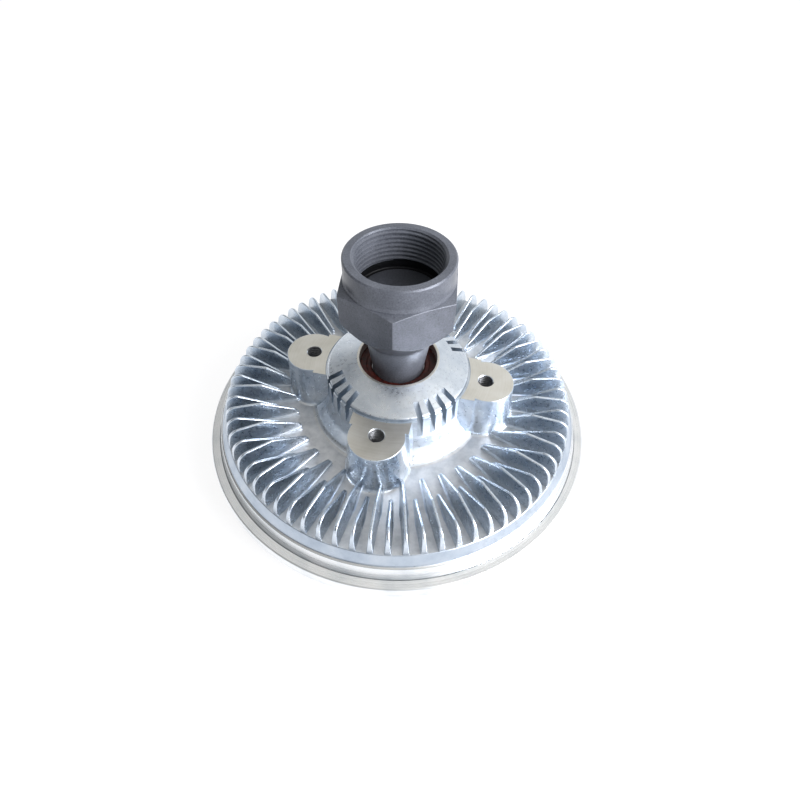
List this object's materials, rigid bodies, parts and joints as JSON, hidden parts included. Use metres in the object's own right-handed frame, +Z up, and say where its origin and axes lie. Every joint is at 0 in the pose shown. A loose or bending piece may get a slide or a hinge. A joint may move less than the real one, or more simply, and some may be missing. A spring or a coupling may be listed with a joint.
{
  "type": "viscous fan clutch",
  "caption": "Finned aluminium viscous fan clutch with a hexagon hub nut that screws onto the fan drive, bosses for the fan and a bimetal valve in its front cover.",
  "frame": {"origin": "middle of the resting face under the front cover, on the axis of rotation", "axes": "+Z up along the axis towards the hub nut; +Y away from the camera of the picture, +X to its right"},
  "size_m": [0.1916, 0.1916, 0.121],
  "materials": {
    "cast_aluminium": "as cast, machined on seats and rim",
    "turned_aluminium": "turned",
    "hub_steel": "dark phosphated, satin",
    "bearing_steel": "ground",
    "spring_steel": "oiled",
    "plate_steel": "rolled",
    "cage_polymer": "moulded",
    "seal_rubber": "matt red-brown",
    "black_rubber": "matt",
    "bronze": "sintered",
    "bimetal": "rolled strip"
  },
  "bodies": {
    "housing_body": {"housing": "cast_aluminium", "front_cover": "cast_aluminium", "cover_seal": "black_rubber", "bearing_outer_ring": "bearing_steel", "bearing_seal_rear": "seal_rubber", "bearing_seal_front": "seal_rubber", "bearing_circlip": "spring_steel", "separator_plate": "plate_steel", "separator_rivets": "plate_steel", "valve_bushing": "bronze", "bimetal_coil": "bimetal"},
    "input_shaft": {"hub_shaft": "hub_steel", "bearing_inner_ring": "bearing_steel", "rotor": "turned_aluminium", "rotor_circlip": "spring_steel"},
    "ball_set": {"bearing_balls": "bearing_steel", "bearing_cages": "cage_polymer"},
    "valve": {"valve_shaft": "bearing_steel", "valve_arm": "plate_steel", "valve_oring": "black_rubber"}
  },
  "joints": [
    {"name": "shaft_spin", "type": "hinge", "parent": "housing_body", "child": "input_shaft", "pos_m": [0, 0, 0.06], "axis": [0, 0, 1], "continuous": true},
    {"name": "cage_orbit", "type": "hinge", "parent": "housing_body", "child": "ball_set", "pos_m": [0, 0, 0.0512], "axis": [0, 0, 1], "continuous": true},
    {"name": "valve_turn", "type": "hinge", "parent": "housing_body", "child": "valve", "pos_m": [0, 0, 0.012], "axis": [0, 0, 1], "range_deg": [0, 32], "stiffness_Nm_per_rad": 0.05, "deforming": ["bimetal_coil"]}
  ],
  "couplings": [
    {"joint": "cage_orbit", "follows": "shaft_spin", "ratio": 0.39254}
  ]
}
